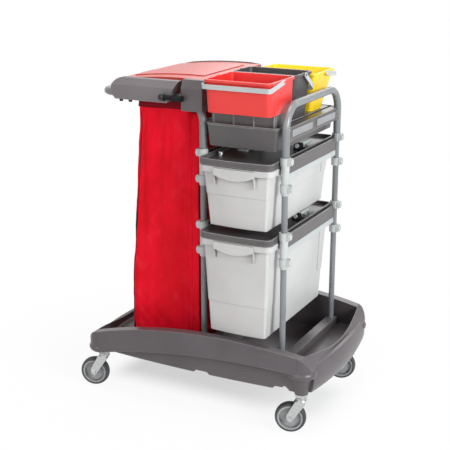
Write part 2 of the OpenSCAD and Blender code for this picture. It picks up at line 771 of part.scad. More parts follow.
// Side view of a cheek: from the lip of the grip back and down to the front wall
module cheek_side(z) polygon([[-tub_front + 1, z + 2], [-tub_front + rim_out + tub_t, z + 2],
    [-tub_front + rim_out + front_taper / 2, z - cheek_drop], [-tub_front + rim_out - 2, z - cheek_drop],
    [-tub_front + 1, z - grip_drop / 2]]);

module tub(z, height) color(pale_grey) translate([frame_x, 0, z - tub_drop - height]) difference() {
    union() {
        difference() {
            union() {
                loft(tub_ring(height, step_h, 0), step_h, tub_ring(height, height - rim_h / 2, 0), height - rim_h / 2);
                loft(tub_ring(height, 0, step_in), 0, tub_ring(height, step_h + eps, step_in), step_h + eps);
                // Rim band
                translate([0, 0, height - rim_h]) linear_extrude(rim_h)
                    polygon(tub_plan(tub_hw, -tub_front, tub_back, tub_bow, tub_r));
            }
            // Hollow under the rim band, outside the wall
            translate([0, 0, height - rim_h - 1]) linear_extrude(rim_h + 1 - tub_t) difference() {
                polygon(tub_plan(tub_hw, -tub_front, tub_back, tub_bow, tub_r, tub_t));
                polygon(tub_plan(wall_in + eps, -tub_front + rim_out - eps, tub_back - rim_out + eps, tub_bow, body_r));
            }
            side_field(height);
        }
        // Hand grip: a lip in front of the rim band with a bowed lower edge, and two cheeks behind it
        intersection() {
            translate([0, 0, height - rim_h - grip_drop]) linear_extrude(grip_drop + rim_h * 0.8) difference() {
                polygon(tub_plan(tub_hw, -tub_front - grip_out, tub_back, tub_bow, tub_r));
                polygon(tub_plan(tub_hw, -tub_front - grip_out, tub_back, tub_bow, tub_r, grip_out + tub_t));
            }
            translate([0, -tub_front, height - rim_h + grip_w * 1.2 - grip_drop]) along_y(4 * (grip_out + tub_t))
                intersection() {
                    circle(grip_w * 1.2, $fn = 180);
                    translate([-grip_w / 2, -2 * grip_w]) square([grip_w, 4 * grip_w]);
                }
        }
        for (s = sides) translate([s * (grip_w / 2 - tub_t / 2), 0, 0])
            along_x(-tub_t / 2, tub_t / 2) cheek_side(height - rim_h);
    }
    loft(tub_ring(height, 0, step_in + tub_t), tub_t, tub_ring(height, height, step_in + tub_t), height + 1);
}

module upper_tub() tub(upper_z, upper_tub_h);

module lower_tub() tub(lower_z, lower_tub_h);

tray_hw = tub_hw;
// Saddles end where the upper tubes start to bend
saddle_h = tube_top - bend_r - tray_z + rail_h;

// The top tray's plan, from its bottom at h = 0 to its rim, set in by d
function tray_ring(h, d) = let (k = tray_taper * (1 - h / tray_h))
    tub_plan(tray_hw - k, -tray_y + k, tray_y - k, tub_bow / 2, tray_r, d);

module top_tray() color(dark_grey) difference() {
    translate([frame_x, 0, tray_z - tray_h]) {
        difference() {
            union() {
                loft(tray_ring(0, 2), 0, tray_ring(tray_h - tray_t, 2), tray_h - tray_t);
                translate([0, 0, tray_h - 2 * tray_t]) linear_extrude(2 * tray_t)
                    polygon(tub_plan(tray_hw, -tray_y, tray_y, tub_bow / 2, tray_r));
                for (s = sides) scale_x(s) {
                    translate([tray_hw - tray_t, -cover_y, tray_h - 2 * tray_t])
                        cube([cover_hw - tray_hw + tray_t, 2 * cover_y, 2 * tray_t]);
                    translate([cover_hw - cover_t, -cover_y, tray_h - rail_h]) cube([cover_t, 2 * cover_y, rail_h]);
                    // Saddles against the upper tubes
                    for (t = sides) translate([cover_hw - cover_t - tube_d / 3, t > 0 ? cover_y - 6 : -post_y, tray_h - rail_h])
                        cube([tube_d * 2 / 3, post_y - cover_y + 6, saddle_h]);
                }
            }
            loft(tray_ring(0, 2 + tray_t), tray_t, tray_ring(tray_h, 2 + tray_t), tray_h + 1);
        }
    }
    for (x = posts_x, s = sides) translate([x, s * post_y, tray_z - tray_h])
        cylinder(d = tube_d + 2 * sleeve_fit, h = 2 * tray_h, $fn = 64);
}

// Bare plates on the outside of the right rail
module label_plates() color(clamp_grey) for (s = sides)
    translate([frame_x + cover_hw, s * (label_gap + label_l) / 2 - label_l / 2, tray_z - rail_h + (rail_h - label_h) / 2])
        cube([label_t, label_l, label_h]);

// Stepped stand in the tray: a high front step and a lower shelf behind it, open below
module bucket_stand() color(mid_grey) {
    z0 = tray_z - tray_h + tray_t;
    y0 = -stand_l / 2;
    y1 = stand_l / 2;
    ys = y0 + step_l;
    difference() {
        along_x(frame_x - stand_w / 2, frame_x + stand_w / 2)
            polygon([[y0, z0], [y1, z0], [y1, stand_lo], [ys, stand_lo], [ys, stand_hi], [y0, stand_hi]]);
        along_x(frame_x - stand_w / 2 + tray_t, frame_x + stand_w / 2 - tray_t)
            polygon([[y0 + tray_t, z0 - 1], [y1 - tray_t, z0 - 1], [y1 - tray_t, stand_lo - tray_t],
                [ys - tray_t, stand_lo - tray_t], [ys - tray_t, stand_hi - tray_t], [y0 + tray_t, stand_hi - tray_t]]);
    }
    // Ribs on the front face
    for (i = [-1.5:1:1.5]) translate([frame_x + i * stand_w / 3.2 - tray_t / 2, y0 - tray_t, z0])
        cube([tray_t, tray_t + eps, stand_hi - z0]);
}

bucket_hw = bucket_w / 2;
arm_x = bucket_hw + 0.6;

// Tapered bucket with a rim lip and a pivot pin on each side. The insets give its bottom, front and back
module bucket(y, len, z0, top, in_front, in_back, in_side) translate([bucket_x, y, 0]) {
    difference() {
        union() {
            loft(tub_plan(bucket_hw - in_side, in_front, len - in_back, 0, 14), z0,
                tub_plan(bucket_hw - lip_w, lip_w, len - lip_w, 0, 14), top - lip_h / 2);
            translate([0, 0, top - lip_h]) linear_extrude(lip_h) polygon(tub_plan(bucket_hw, 0, len, 0, 18));
            // Pivot pins on round pads
            for (s = sides) scale_x(s) translate([bucket_hw - lip_w - bucket_t, len / 2, top - pivot_drop]) {
                rod(2 * pivot_d, lip_w + bucket_t);
                rod(pivot_d, lip_w + bucket_t + 0.6 + bail_t + 1);
            }
        }
        loft(tub_plan(bucket_hw - in_side, in_front, len - in_back, 0, 14, bucket_t), z0 + bucket_t,
            tub_plan(bucket_hw - lip_w, lip_w, len - lip_w, 0, 14, bucket_t), top + 1);
    }
}

module red_bucket() color(bucket_red) bucket(red_y, red_l, stand_hi + seat, bucket_z, 15, 8, 6);

module grey_bucket() color(bucket_grey) bucket(grey_y, grey_l, stand_lo + seat, bucket_z, 10, 10, 18);

module yellow_bucket() color(bucket_yellow)
    bucket(yellow_y, yellow_l, stand_lo + seat, bucket_z - yellow_drop, 12, 72, 18);

// Plan of a bail's strip: an open U about the pivots, which reaches to -Y
module bail_plan(reach) difference() {
    polygon(tub_plan(arm_x + bail_t, -reach - bail_t, 2 * pivot_d, 0, pivot_d + bail_t));
    polygon(tub_plan(arm_x, -reach, 2 * pivot_d, 0, pivot_d));
    translate([-2 * bucket_w, 0]) square(4 * bucket_w);
}

// Bail that hangs by droop below level; dir -1 reaches to the front and 1 to the back
module bail(y, top, dir, reach, droop) translate([bucket_x, y, top - pivot_drop]) scale_y(-dir) rotate([droop, 0, 0])
    difference() {
        union() {
            translate([0, 0, -bail_h / 2]) linear_extrude(bail_h) bail_plan(reach);
            for (s = sides) scale_x(s) translate([arm_x, 0, 0]) rod(bail_h, bail_t);
        }
        for (s = sides) scale_x(s) translate([arm_x - 1, 0, 0]) rod(pivot_d + 2 * pin_fit, bail_t + 2);
    }

module red_bail() color(clamp_grey) bail(red_y + red_l / 2, bucket_z, -1, red_l / 2 + bail_t, bail_droop);

module grey_bail() color(clamp_grey) bail(grey_y + grey_l / 2, bucket_z, 1, grey_reach, grey_droop);

module yellow_bail() color(clamp_grey)
    bail(yellow_y + yellow_l / 2, bucket_z - yellow_drop, 1, yellow_l / 2 + bail_t, bail_droop);

// Section of a housing on a loop arm, with the tube axis at the origin and +X to the outside
module house_section(out, up, down) polygon([[out, -down], [out, up * 0.6], [out - 14, up], [2, up],
    [-house_in, house_in + 1], [-house_in, -down]]);

// A housing between x0 and x1, cut by the side view that is given as a child
module housing(s, x0, x1, out, up, down) difference() {
    intersection() {
        translate([0, s * post_y, tube_top]) scale_y(s) along_x(x0, x1) house_section(out, up, down);
        translate([0, 0, tube_top]) along_y(base_wid) children();
    }
    loop_path(tube_d + 2 * sleeve_fit, tube_foot);
}

// Side view of a bag clamp: round upper left, slanted right end
module clamp_side() {
    round_r = house_up - 15;
    intersection() {
        polygon([[clamp_x0 + house_down + 2, -house_down], [clamp_x0, 4], [clamp_x0, house_up], [clamp_x1, house_up],
            [clamp_x1 - 0.54 * (house_up + house_down), -house_down]]);
        union() {
            translate([clamp_x0 + round_r, house_up - round_r]) circle(round_r, $fn = 64);
            translate([clamp_x0, -house_down]) square([clamp_x1 - clamp_x0, house_down + house_up - round_r]);
            translate([clamp_x0 + round_r, -house_down]) square([clamp_x1 - clamp_x0, house_up + house_down]);
        }
    }
}

lid_seat = tube_top + rear_up + 1;
latch_y = -post_y - house_out - knob_d / 2;
latch_z = tube_top + 5;
eye_x = clamp_x1 - 48;
knuckle_l = 40;
knuckle_r = 1.15 * pin_d;
hinge_y = post_y + house_out - knuckle_r - 1;
hinge_z = lid_seat + 5;
lid_knuckles = [clamp_x0 + 55, clamp_x1 - 72];
fixed_knuckles = [clamp_x0 + 55 - knuckle_l - seat, clamp_x0 + 55 + knuckle_l + seat, clamp_x1 - 72 - knuckle_l - seat];

module front_bag_clamp() color(dark_grey) {
    housing(-1, clamp_x0, clamp_x1, house_out, house_up, house_down) clamp_side();
    // Ledge under the lid's front edge
    translate([clamp_x0 + 20, -post_y + house_in - 8, lid_seat - seat - 6])
        cube([clamp_x1 - clamp_x0 - 50, 22, 6]);
    // Eye that the latch turns in
    difference() {
        union() {
            translate([eye_x, latch_y, latch_z]) rod(latch_d + 10, 12);
            translate([eye_x, latch_y, latch_z - 8]) cube([12, knob_d / 2 + eps, 16]);
        }
        translate([eye_x - 1, latch_y, latch_z]) rod(latch_d + 2 * pin_fit, 14);
    }
}

module rear_bag_clamp() color(dark_grey) {
    housing(1, clamp_x0, clamp_x1, house_out, rear_up, house_down) clamp_side();
    // Fixed hinge knuckles on the outer top edge
    for (x = fixed_knuckles) difference() {
        union() {
            translate([x, hinge_y, hinge_z]) rod(2 * knuckle_r, knuckle_l);
            translate([x, hinge_y - knuckle_r, tube_top + rear_up * 0.6 - 2])
                cube([knuckle_l, 2 * knuckle_r, hinge_z - tube_top - rear_up * 0.6 + 2]);
        }
        translate([x - 1, hinge_y, hinge_z]) rod(pin_d + 2 * pin_fit, knuckle_l + 2);
    }
}

module lid_hinge_pin() color(zinc) translate([fixed_knuckles[0] - 2, hinge_y, hinge_z])
    rod(pin_d, lid_knuckles[1] + knuckle_l - fixed_knuckles[0] + 4);

// Side view of a corner cap
module cap_side() translate([cap_x0, -cap_down]) square([cap_x1 - cap_x0, cap_up + cap_down]);

module front_corner_cap() color(dark_grey)
    housing(-1, cap_x0, cap_x1, house_out - 2, cap_up, cap_down) cap_side();

module rear_corner_cap() color(dark_grey)
    housing(1, cap_x0, cap_x1, house_out - 2, rear_up, cap_down) cap_side();

// Pegs under the housings
module bag_hooks() color(black) for (s = sides, x = [clamp_x0 + 33, clamp_x0 + 68])
    translate([x, s * (post_y + house_out - 12), tube_top - house_down - 8]) cylinder(d = 12, h = 8, $fn = 48);

// Rod, end collar and winged knob
module clamp_latch() color(black) translate([0, latch_y, latch_z]) {
    translate([eye_x - seat - 5, 0, 0]) rod(latch_d + 6, 5);
    translate([eye_x - seat - 1, 0, 0]) rod(latch_d, 50);
    translate([eye_x + 12 + seat, 0, 0]) rod(latch_d + 4, 26);
    translate([eye_x + 42, 0, 0]) difference() {
        rod(knob_d - 1, 34);
        for (s = sides) translate([8, -knob_d, s > 0 ? knob_d / 3 : -knob_d * 4 / 3]) cube([30, 2 * knob_d, knob_d]);
    }
}

lid_y0 = -post_y + house_in + 5;
lid_y1 = hinge_y - knuckle_r - 1.2;
lid_wid = lid_y1 - lid_y0;
lid_mid = (lid_y1 + lid_y0) / 2;
lid_edge = 6;
lid_span = lid_crown - lid_x0;
lid_r = (lid_span * lid_span + lid_rise * lid_rise) / (2 * lid_rise);
lid_top = lid_seat + lid_edge + lid_rise;

// Section of the lid's vault, set in by d, from x0 to x1 and above z0
module lid_section(d, x0, x1, z0) polygon(concat(
    arch_line(lid_crown, lid_top - d, lid_r - d, x0, x1, 36),
    [[x1, z0], [x0, z0]]));

module bag_lid() color(lid_red) {
    translate([0, lid_mid, 0]) difference() {
        union() {
            along_y(lid_wid) lid_section(0, lid_x0, lid_x1, lid_seat);
            along_y(lid_wid * 0.7) lid_section(-panel_h, lid_x0 + 36, lid_x1 - 36, lid_seat + lid_edge);
        }
        along_y(lid_wid - 2 * lid_t) lid_section(lid_t, lid_x0 + lid_t, lid_x1 - lid_t, lid_seat - 1);
    }
    // Finger tab on the left edge
    translate([lid_x0 - 8, lid_mid - 40, lid_seat + lid_edge - 5]) cube([8 + eps, 80, 4]);
    // Hinge knuckles
    for (x = lid_knuckles) difference() {
        union() {
            translate([x, hinge_y, hinge_z]) rod(2 * knuckle_r, knuckle_l);
            translate([x, lid_y1 - 2, lid_seat + eps]) cube([knuckle_l, hinge_y - lid_y1 + 2, lid_edge - eps]);
        }
        translate([x - 1, hinge_y, hinge_z]) rod(pin_d + 2 * pin_fit, knuckle_l + 2);
    }
}

bag_y = post_y - house_in - seat;
bag_top = lid_seat - 14;

// The bag's plan, set in by d: its mouth is at k = 1 and its foot at k = 0
function bag_ring(k, d) = let (x0 = bag_x0 - bag_spread * (1 - k), hw = (bag_x1 - x0) / 2)
    [for (p = tub_plan(hw, -bag_y, bag_y, 0, 16, d)) p + [bag_x1 - hw, 0]];

module waste_bag() color(bag_red) difference() {
    loft(bag_ring(0, 0), floor_z + seat, bag_ring(1, 0), bag_top);
    loft(bag_ring(0, bag_t), floor_z + seat + bag_t, bag_ring(1, bag_t), bag_top + 1);
}

caster_parts = ["caster_head", "caster_fork", "caster_axle", "caster_hub", "caster_tyre"];

// The left wheels stand out past the base as they trail, by twice this shift
shift_x = (corner_c[0] + trail * cos(heading) + wheel_d / 2 - base_len / 2) / 2;

module place() translate([shift_x, 0, 0]) children();

place() base_tray();
place() mid_foot_beam();
place() right_foot_beam();
place() front_mid_post();
place() front_right_post();
place() back_mid_post();
place() back_right_post();
place() right_bow();
place() bag_loop();
place() upper_cover_clamps();
place() upper_guide_clamps();
place() lower_cover_clamps();
place() lower_guide_clamps();
place() upper_cover();
place() lower_cover();
place() upper_runners();
place() lower_runners();
place() cover_pulls();
place() upper_tub();
place() lower_tub();
place() top_tray();
place() label_plates();
place() bucket_stand();
place() red_bucket();
place() grey_bucket();
place() yellow_bucket();
place() red_bail();
place() grey_bail();
place() yellow_bail();
place() front_bag_clamp();
place() rear_bag_clamp();
place() front_corner_cap();
place() rear_corner_cap();
place() bag_hooks();
place() clamp_latch();
place() bag_lid();
place() lid_hinge_pin();
place() waste_bag();
for (c = corners) {
    place() caster_head(c);
    place() caster_fork(c);
    place() caster_axle(c);
    place() caster_hub(c);
    place() caster_tyre(c);
}
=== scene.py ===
import json
import math

import bpy
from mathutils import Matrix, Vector, noise


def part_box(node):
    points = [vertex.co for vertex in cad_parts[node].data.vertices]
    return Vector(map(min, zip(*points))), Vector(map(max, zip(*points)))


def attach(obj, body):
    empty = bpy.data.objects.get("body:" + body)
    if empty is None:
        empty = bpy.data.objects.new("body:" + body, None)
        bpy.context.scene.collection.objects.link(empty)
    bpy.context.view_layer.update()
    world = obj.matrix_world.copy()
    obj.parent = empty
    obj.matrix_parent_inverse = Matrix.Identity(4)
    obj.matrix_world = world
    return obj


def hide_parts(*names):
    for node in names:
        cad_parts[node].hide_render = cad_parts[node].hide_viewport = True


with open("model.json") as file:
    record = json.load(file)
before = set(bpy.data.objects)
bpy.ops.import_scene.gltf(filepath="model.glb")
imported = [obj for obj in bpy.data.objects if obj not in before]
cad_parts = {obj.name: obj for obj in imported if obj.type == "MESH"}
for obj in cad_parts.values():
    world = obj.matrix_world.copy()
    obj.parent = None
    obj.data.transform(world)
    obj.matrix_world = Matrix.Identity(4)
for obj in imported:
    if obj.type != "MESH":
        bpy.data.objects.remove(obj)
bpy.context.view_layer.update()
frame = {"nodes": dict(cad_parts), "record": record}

nodes = frame["nodes"]
scene = bpy.context.scene
scene.view_settings.view_transform = "Standard"
print("frame loaded:", len(nodes), "nodes")


# camera and lamps

shot = {"place": (1.5346, -2.958, 1.600), "down": 16.82, "turn": 27.5, "lens": 80.0, "sensor": 36.0}

eye = bpy.data.objects.new("eye", bpy.data.cameras.new("eye"))
scene.collection.objects.link(eye)
eye.location = shot["place"]
eye.rotation_euler = (math.radians(90.0 - shot["down"]), 0.0, math.radians(shot["turn"]))
eye.data.lens = shot["lens"]
eye.data.sensor_width = shot["sensor"]
scene.camera = eye

lamps = {
    "key": {"at": (3.9, -1.4, 2.0), "size": 1.8, "power": 168.0, "tint": (0.95, 0.99, 1.0)},
    "fill": {"at": (-0.9, -3.8, 2.2), "size": 2.6, "power": 42.0, "tint": (1.0, 0.97, 0.955)},
    "top": {"at": (0.3, -0.3, 4.2), "size": 1.3, "power": 64.0, "tint": (1.0, 1.0, 1.0)},
    "rear": {"at": (-0.8, 3.4, 2.8), "size": 2.6, "power": 34.0, "tint": (1.0, 1.0, 1.0)},
}
aim = Vector((0.0, 0.0, 0.55))
for name, lamp in lamps.items():
    light = bpy.data.lights.new("lamp_" + name, "AREA")
    light.shape = "DISK"
    light.size = lamp["size"]
    light.energy = lamp["power"]
    light.color = lamp["tint"]
    holder = bpy.data.objects.new("lamp_" + name, light)
    scene.collection.objects.link(holder)
    holder.location = lamp["at"]
    holder.rotation_euler = (aim - holder.location).to_track_quat("-Z", "Y").to_euler()
print("camera and lamps placed")


# node materials

def tone(red, green, blue):  # a screen colour, 0 to 255, as a linear one
    def linear(value):
        value /= 255.0
        return value / 12.92 if value <= 0.04045 else ((value + 0.055) / 1.055) ** 2.4
    return (linear(red), linear(green), linear(blue), 1.0)


class Wire:  # a socket that can be reckoned with
    def __init__(self, finish, socket):
        self.finish, self.socket = finish, socket

    def reckon(self, operation, first, second):
        return self.finish.node("ShaderNodeMath", {"operation": operation}, {0: first, 1: second})

    def __add__(self, other):
        return self.reckon("ADD", self, other)

    def __radd__(self, other):
        return self.reckon("ADD", other, self)

    def __sub__(self, other):
        return self.reckon("SUBTRACT", self, other)

    def __rsub__(self, other):
        return self.reckon("SUBTRACT", other, self)

    def __mul__(self, other):
        return self.reckon("MULTIPLY", self, other)

    def __rmul__(self, other):
        return self.reckon("MULTIPLY", other, self)

    def above(self, low, high):  # 0 below low, 1 past high
        return self.finish.node("ShaderNodeMapRange", {"interpolation_type": "SMOOTHSTEP"},
                                {"Value": self, "From Min": low, "From Max": high})

    def wave(self):
        return self.reckon("SINE", self, 0.0)

    def size(self):
        return self.reckon("ABSOLUTE", self, 0.0)


class Finish:  # one node material
    def __init__(self, name, tree=None):
        if tree is None:
            self.material = bpy.data.materials.new(name)
            self.material.use_nodes = True
            tree = self.material.node_tree
        self.tree = tree
        self.tree.nodes.clear()
        self.place = self.node("ShaderNodeTexCoord", out="Object")

    def node(self, kind, settings=(), sockets=(), out=0):
        made = self.tree.nodes.new(kind)
        for key, value in dict(settings).items():
            setattr(made, key, value)
        for key, value in dict(sockets).items():
            if isinstance(value, Wire):
                self.tree.links.new(value.socket, made.inputs[key])
            else:
                made.inputs[key].default_value = value
        return Wire(self, made.outputs[out]) if made.outputs else None

    def mix(self, share, first, second):  # two colours
        return self.node("ShaderNodeMix", {"data_type": "RGBA"}, {0: share, 6: first, 7: second}, out=2)

    def scaled(self, x, y, z):  # the place with its axes stretched
        return self.node("ShaderNodeVectorMath", {"operation": "MULTIPLY"}, {0: self.place, 1: (x, y, z)})

    def slanted(self, turned, stretch):  # the place turned about Y, with what was upright drawn out
        return self.node("ShaderNodeMapping", {"vector_type": "TEXTURE"},
                         {"Vector": self.place, "Rotation": (0.0, turned, 0.0), "Scale": (1.0, 1.0, stretch)})

    def clouds(self, scale, detail=2.0, place=None):
        return self.node("ShaderNodeTexNoise", {},
                         {"Vector": place or self.place, "Scale": scale, "Detail": detail})

    def axis(self, which):
        return self.node("ShaderNodeSeparateXYZ", {}, {0: self.place}, out=which)

    def softEdge(self, radius):  # a rounded normal, and a mask of what is near an edge
        soft = self.node("ShaderNodeBevel", {"samples": 6}, {"Radius": radius})
        face = self.node("ShaderNodeNewGeometry", out="Normal")
        same = self.node("ShaderNodeVectorMath", {"operation": "DOT_PRODUCT"}, {0: soft, 1: face}, out="Value")
        return soft, (1.0 - same).above(0.01, 0.2)

    def hollowShadeMask(self, reach):  # 1 deep in the piece's own corners and hollows, where shade falls: the mask of the painted shade
        free = self.node("ShaderNodeAmbientOcclusion", {"samples": 8, "only_local": True},
                         {"Distance": reach}, out="AO")
        return (1.0 - free).above(0.12, 0.85)

    def bump(self, height, depth, normal=None):
        sockets = {"Height": height, "Distance": depth, "Strength": 1.0}
        if normal:
            sockets["Normal"] = normal
        return self.node("ShaderNodeBump", {}, sockets)

    def done(self, sockets):
        shader = self.node("ShaderNodeBsdfPrincipled", {}, sockets)
        self.node("ShaderNodeOutputMaterial", {}, {"Surface": shader})
        return self.material


plastics = {  # screen colours; grain and clouds per metre; lengths in metres
    "dark_plastic": {"shade": (84, 79, 81), "light": (92, 87, 89), "wearAndHighlight": (164, 160, 160), "rough": 0.33,
                     "grain": 700.0, "deep": 0.00018, "round": 0.0026, "wear": 0.55, "scuff": 0.30},
    # the base: a darker copy of the dark plastic as painted shade, with deep painted shade reaching far into its
    # hollows and the tray's inside
    "base_shaded_plastic": {"shade": (79, 73, 76), "light": (87, 81, 84), "wearAndHighlight": (164, 160, 160), "rough": 0.33,
                     "grain": 700.0, "deep": 0.00018, "round": 0.0032, "wear": 0.60, "scuff": 0.30,
                     "paintedShade": 0.85, "reach": 0.18},
    # the covers, top tray and bucket stand: a strong painted highlight along their edges
    "cover_plastic": {"shade": (80, 76, 77), "light": (88, 84, 85), "wearAndHighlight": (186, 184, 184), "rough": 0.30,
                      "grain": 700.0, "deep": 0.00016, "round": 0.0045, "wear": 0.80, "scuff": 0.30, "paintedShade": 0.20},
    # the clamp housings: a lighter copy of the dark plastic as painted light, with a strong painted highlight along
    # their edges
    "housing_lit_plastic": {"shade": (106, 100, 102), "light": (115, 109, 111), "wearAndHighlight": (200, 197, 197), "rough": 0.40,
                        "grain": 700.0, "deep": 0.00018, "round": 0.0030, "wear": 0.70, "scuff": 0.30,
                        "sleeve": (18, 18, 20)},
    "plate_plastic": {"shade": (136, 135, 137), "light": (146, 145, 147), "wearAndHighlight": (190, 190, 190), "rough": 0.36,
                      "grain": 900.0, "deep": 0.00012, "round": 0.0010, "wear": 0.25, "scuff": 0.20},
    "clamp_plastic": {"shade": (176, 179, 179), "light": (187, 190, 190), "wearAndHighlight": (210, 212, 212), "rough": 0.40,
                      "grain": 900.0, "deep": 0.00012, "round": 0.0014, "wear": 0.25, "scuff": 0.20},
    "tub_plastic": {"shade": (187, 186, 185), "light": (196, 195, 194), "wearAndHighlight": (220, 219, 217), "rough": 0.36,
                    "grain": 500.0, "deep": 0.00016, "round": 0.0022, "wear": 0.30, "scuff": 0.30,
                    "paintedShade": 0.85, "reach": 0.030},
    "red_plastic": {"shade": (216, 46, 44), "light": (226, 56, 52), "wearAndHighlight": (236, 92, 86), "rough": 0.32,
                    "grain": 500.0, "deep": 0.00012, "round": 0.0018, "wear": 0.25, "scuff": 0.25},
    "bucket_grey": {"shade": (62, 60, 61), "light": (70, 68, 69), "wearAndHighlight": (126, 123, 124), "rough": 0.40,
                    "grain": 600.0, "deep": 0.00014, "round": 0.0018, "wear": 0.25, "scuff": 0.30},
    "yellow_plastic": {"shade": (240, 198, 20), "light": (248, 210, 34), "wearAndHighlight": (252, 226, 96), "rough": 0.32,
                       "grain": 500.0, "deep": 0.00012, "round": 0.0018, "wear": 0.25, "scuff": 0.25},
    "lid_plastic": {"shade": (194, 63, 54), "light": (203, 73, 62), "wearAndHighlight": (228, 118, 106), "rough": 0.30,
                    "grain": 420.0, "deep": 0.00014, "round": 0.0020, "wear": 0.25, "scuff": 0.35},
    "black_plastic": {"shade": (18, 18, 20), "light": (25, 25, 27), "wearAndHighlight": (46, 46, 48), "rough": 0.52,
                      "grain": 800.0, "deep": 0.00014, "round": 0.0012, "wear": 0.25, "scuff": 0.15, "gloss": 0.14},
    "hub_plastic": {"shade": (146, 147, 148), "light": (158, 159, 160), "wearAndHighlight": (184, 184, 184), "rough": 0.42,
                    "grain": 900.0, "deep": 0.00012, "round": 0.0010, "wear": 0.30, "scuff": 0.20},
}
usual = {"reach": 0.05, "paintedShade": 0.55, "paintedShadeTone": 0.45, "gloss": 0.5,  # for a plastic that names none of its own
         "drift": 5.0, "scuffs": 26.0, "drawn": 7.0, "patches": 3.0}
latchEye = {"along": 0.0115, "inner": 0.0136, "outer": 0.0142}


def mouldedPlastic(name, look):
    f = Finish(name)
    soft, edge = f.softEdge(look["round"])
    drift = f.clouds(usual["drift"], 3.0)
    scuff = f.clouds(usual["scuffs"], 4.0, f.scaled(1.0, 1.0, usual["drawn"])).above(0.60, 0.76)
    scuff = scuff * f.clouds(usual["patches"]).above(0.42, 0.66)
    grain = f.clouds(look["grain"], 1.0)
    skin = f.mix(drift.above(0.3, 0.7), tone(*look["shade"]), tone(*look["light"]))
    # edges drawn toward the pale tone: partly wear, partly a painted highlight along rounded edges, strongest on the
    # covers and clamp housings; the scuffs are wear
    skin = f.mix(edge * look["wear"] + scuff * look["scuff"] * 0.5, skin, tone(*look["wearAndHighlight"]))
    # painted shade: corners, hollows, gaps under lips and between parts darkened toward a dim copy of the piece's
    # tone
    paintedShade = f.hollowShadeMask(look.get("reach", usual["reach"])) * look.get("paintedShade", usual["paintedShade"])
    skin = f.mix(paintedShade, skin, tone(*(usual["paintedShadeTone"] * part for part in look["shade"])))
    rough = look["rough"] + (drift - 0.5) * 0.12 + scuff * look["scuff"] * 0.4
    if "sleeve" in look:  # the black bush that the latch turns in
        low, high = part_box("clamp_latch")
        bush = (low.x + latchEye["along"], (low.y + high.y) / 2.0, (low.z + high.z) / 2.0)
        apart = f.node("ShaderNodeVectorMath", {"operation": "DISTANCE"}, {0: f.place, 1: bush}, out="Value")
        skin = f.mix(apart.above(latchEye["inner"], latchEye["outer"]), tone(*look["sleeve"]), skin)
    return f.done({"Base Color": skin, "Roughness": rough, "Normal": f.bump(grain, look["deep"], soft),
                   "Specular IOR Level": look.get("gloss", usual["gloss"])})


paint = {"shade": (111, 114, 116), "light": (123, 126, 128), "wearAndHighlight": (172, 175, 176), "rough": 0.28,
         "round": 0.0010, "drift": 6.0, "rubs": 30.0, "peel": 420.0, "deep": 0.00012, "coat": 0.25, "coatRough": 0.2}


def paintedTube(name, look):  # powder coat with a faint orange peel
    f = Finish(name)
    soft, edge = f.softEdge(look["round"])
    drift = f.clouds(look["drift"], 3.0)
    rub = f.clouds(look["rubs"], 3.0, f.scaled(1.0, 1.0, 0.25)).above(0.62, 0.78)
    peel = f.clouds(look["peel"], 2.0)
    skin = f.mix(drift.above(0.3, 0.7), tone(*look["shade"]), tone(*look["light"]))
    # rubs and edges drawn toward the pale tone: the rubs are wear, the lightened edges partly a painted highlight
    skin = f.mix(rub * 0.35 + edge * 0.3, skin, tone(*look["wearAndHighlight"]))
    rough = look["rough"] + (drift - 0.5) * 0.14 + rub * 0.10
    return f.done({"Base Color": skin, "Roughness": rough, "Normal": f.bump(peel, look["deep"], soft),
                   "Coat Weight": look["coat"], "Coat Roughness": look["coatRough"]})


plate = {"shade": (184, 186, 185), "light": (204, 205, 204), "stain": (158, 158, 155), "rough": 0.24,
         "round": 0.0010, "spangle": 260.0, "stains": 34.0, "deep": 0.00008}


def zincPlate(name, look):  # bright plating with spangle and faint stains
    f = Finish(name)
    soft, edge = f.softEdge(look["round"])
    spangle = f.node("ShaderNodeTexVoronoi", {"feature": "F1"},
                     {"Vector": f.place, "Scale": look["spangle"]}, out="Distance")
    stain = f.clouds(look["stains"], 4.0).above(0.55, 0.78)
    skin = f.mix(spangle.above(0.0, 0.9), tone(*look["shade"]), tone(*look["light"]))
    skin = f.mix(stain * 0.6, skin, tone(*look["stain"]))
    rough = look["rough"] + spangle * 0.14 + stain * 0.12
    return f.done({"Base Color": skin, "Metallic": 1.0 - stain * 0.25, "Roughness": rough,
                   "Normal": f.bump(spangle + edge * 0.2, look["deep"], soft)})


rubber = {"shade": (52, 52, 54), "light": (66, 66, 68), "dust": (104, 102, 100), "rough": 0.62,
          "round": 0.0016, "drift": 20.0, "specks": 60.0, "fine": 1100.0, "deep": 0.00018}


def greyRubber(name, look):
    f = Finish(name)
    soft, edge = f.softEdge(look["round"])
    drift = f.clouds(look["drift"], 3.0)
    dust = f.clouds(look["specks"], 5.0).above(0.52, 0.74)
    fine = f.clouds(look["fine"], 1.0)
    skin = f.mix(drift.above(0.3, 0.7), tone(*look["shade"]), tone(*look["light"]))
    skin = f.mix(dust * 0.4 + edge * 0.25, skin, tone(*look["dust"]))
    return f.done({"Base Color": skin, "Roughness": look["rough"] + dust * 0.16,
                   "Normal": f.bump(fine, look["deep"], soft)})


weave = {"thread": 0.0011, "deep": 0.00012, "drift": 7.0, "crease": 22.0, "slant": (0.75, -0.55), "long": 2.6,
         "folds": 0.0110, "gloss": 0.12}
# the rub tone lightens the crests of the creases as a painted sheen, and the thread tops a little as the weave's
# pattern
cloth = {"deep": (224, 3, 28), "bright": (243, 9, 42), "rub": (248, 52, 70), "rough": 0.60}
# a darker red for the cuff and the ring under it: painted shade of the clamp housings overhead
cuffShadeCloth = {"deep": (112, 5, 18), "bright": (130, 9, 24), "rub": (148, 28, 40), "rough": 0.64}


